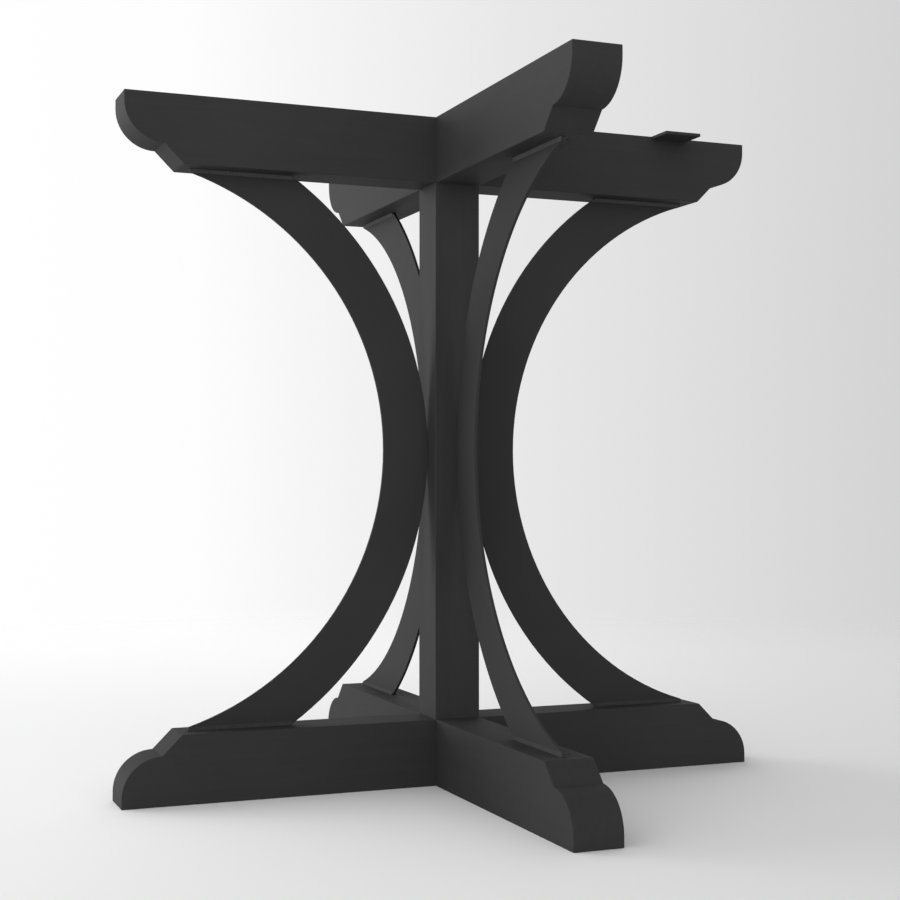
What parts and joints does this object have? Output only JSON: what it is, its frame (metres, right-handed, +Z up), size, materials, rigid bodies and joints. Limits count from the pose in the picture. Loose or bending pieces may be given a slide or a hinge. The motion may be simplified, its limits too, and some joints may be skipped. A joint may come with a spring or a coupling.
{
  "type": "table base",
  "caption": "Pedestal base for a small table: a square post between two crossed beams with shaped ends at top and floor, with a bowed steel brace along each arm.",
  "frame": {"origin": "on the floor under the middle of the post, which is the bottom centre of the bounding box", "axes": "+Z up along the post; the long beams run along X, with the fixing plate on the +X arm; the cross beams run along Y, and -Y is the front arm in the picture"},
  "size_m": [0.711, 0.711, 0.711],
  "materials": {
    "black_timber": "satin black paint over solid hardwood",
    "black_steel": "satin black paint",
    "screw_steel": "satin black paint",
    "plated_steel": "zinc plated",
    "bare_timber": "plain beech"
  },
  "bodies": {
    "root": {"foot_beam_long": "black_timber", "foot_beam_cross": "black_timber", "top_beam_long": "black_timber", "top_beam_cross": "black_timber", "post": "black_timber", "brace_right": "black_steel", "brace_rear": "black_steel", "brace_left": "black_steel", "brace_front": "black_steel", "brace_screws_lower": "screw_steel", "brace_screws_upper": "screw_steel", "fixing_plate": "black_steel", "fixing_plate_screws": "screw_steel", "tie_rod": "plated_steel", "tie_rod_washers": "plated_steel", "tie_rod_nuts": "plated_steel", "post_dowels_lower": "bare_timber", "post_dowels_upper": "bare_timber"}
  },
  "joints": []
}
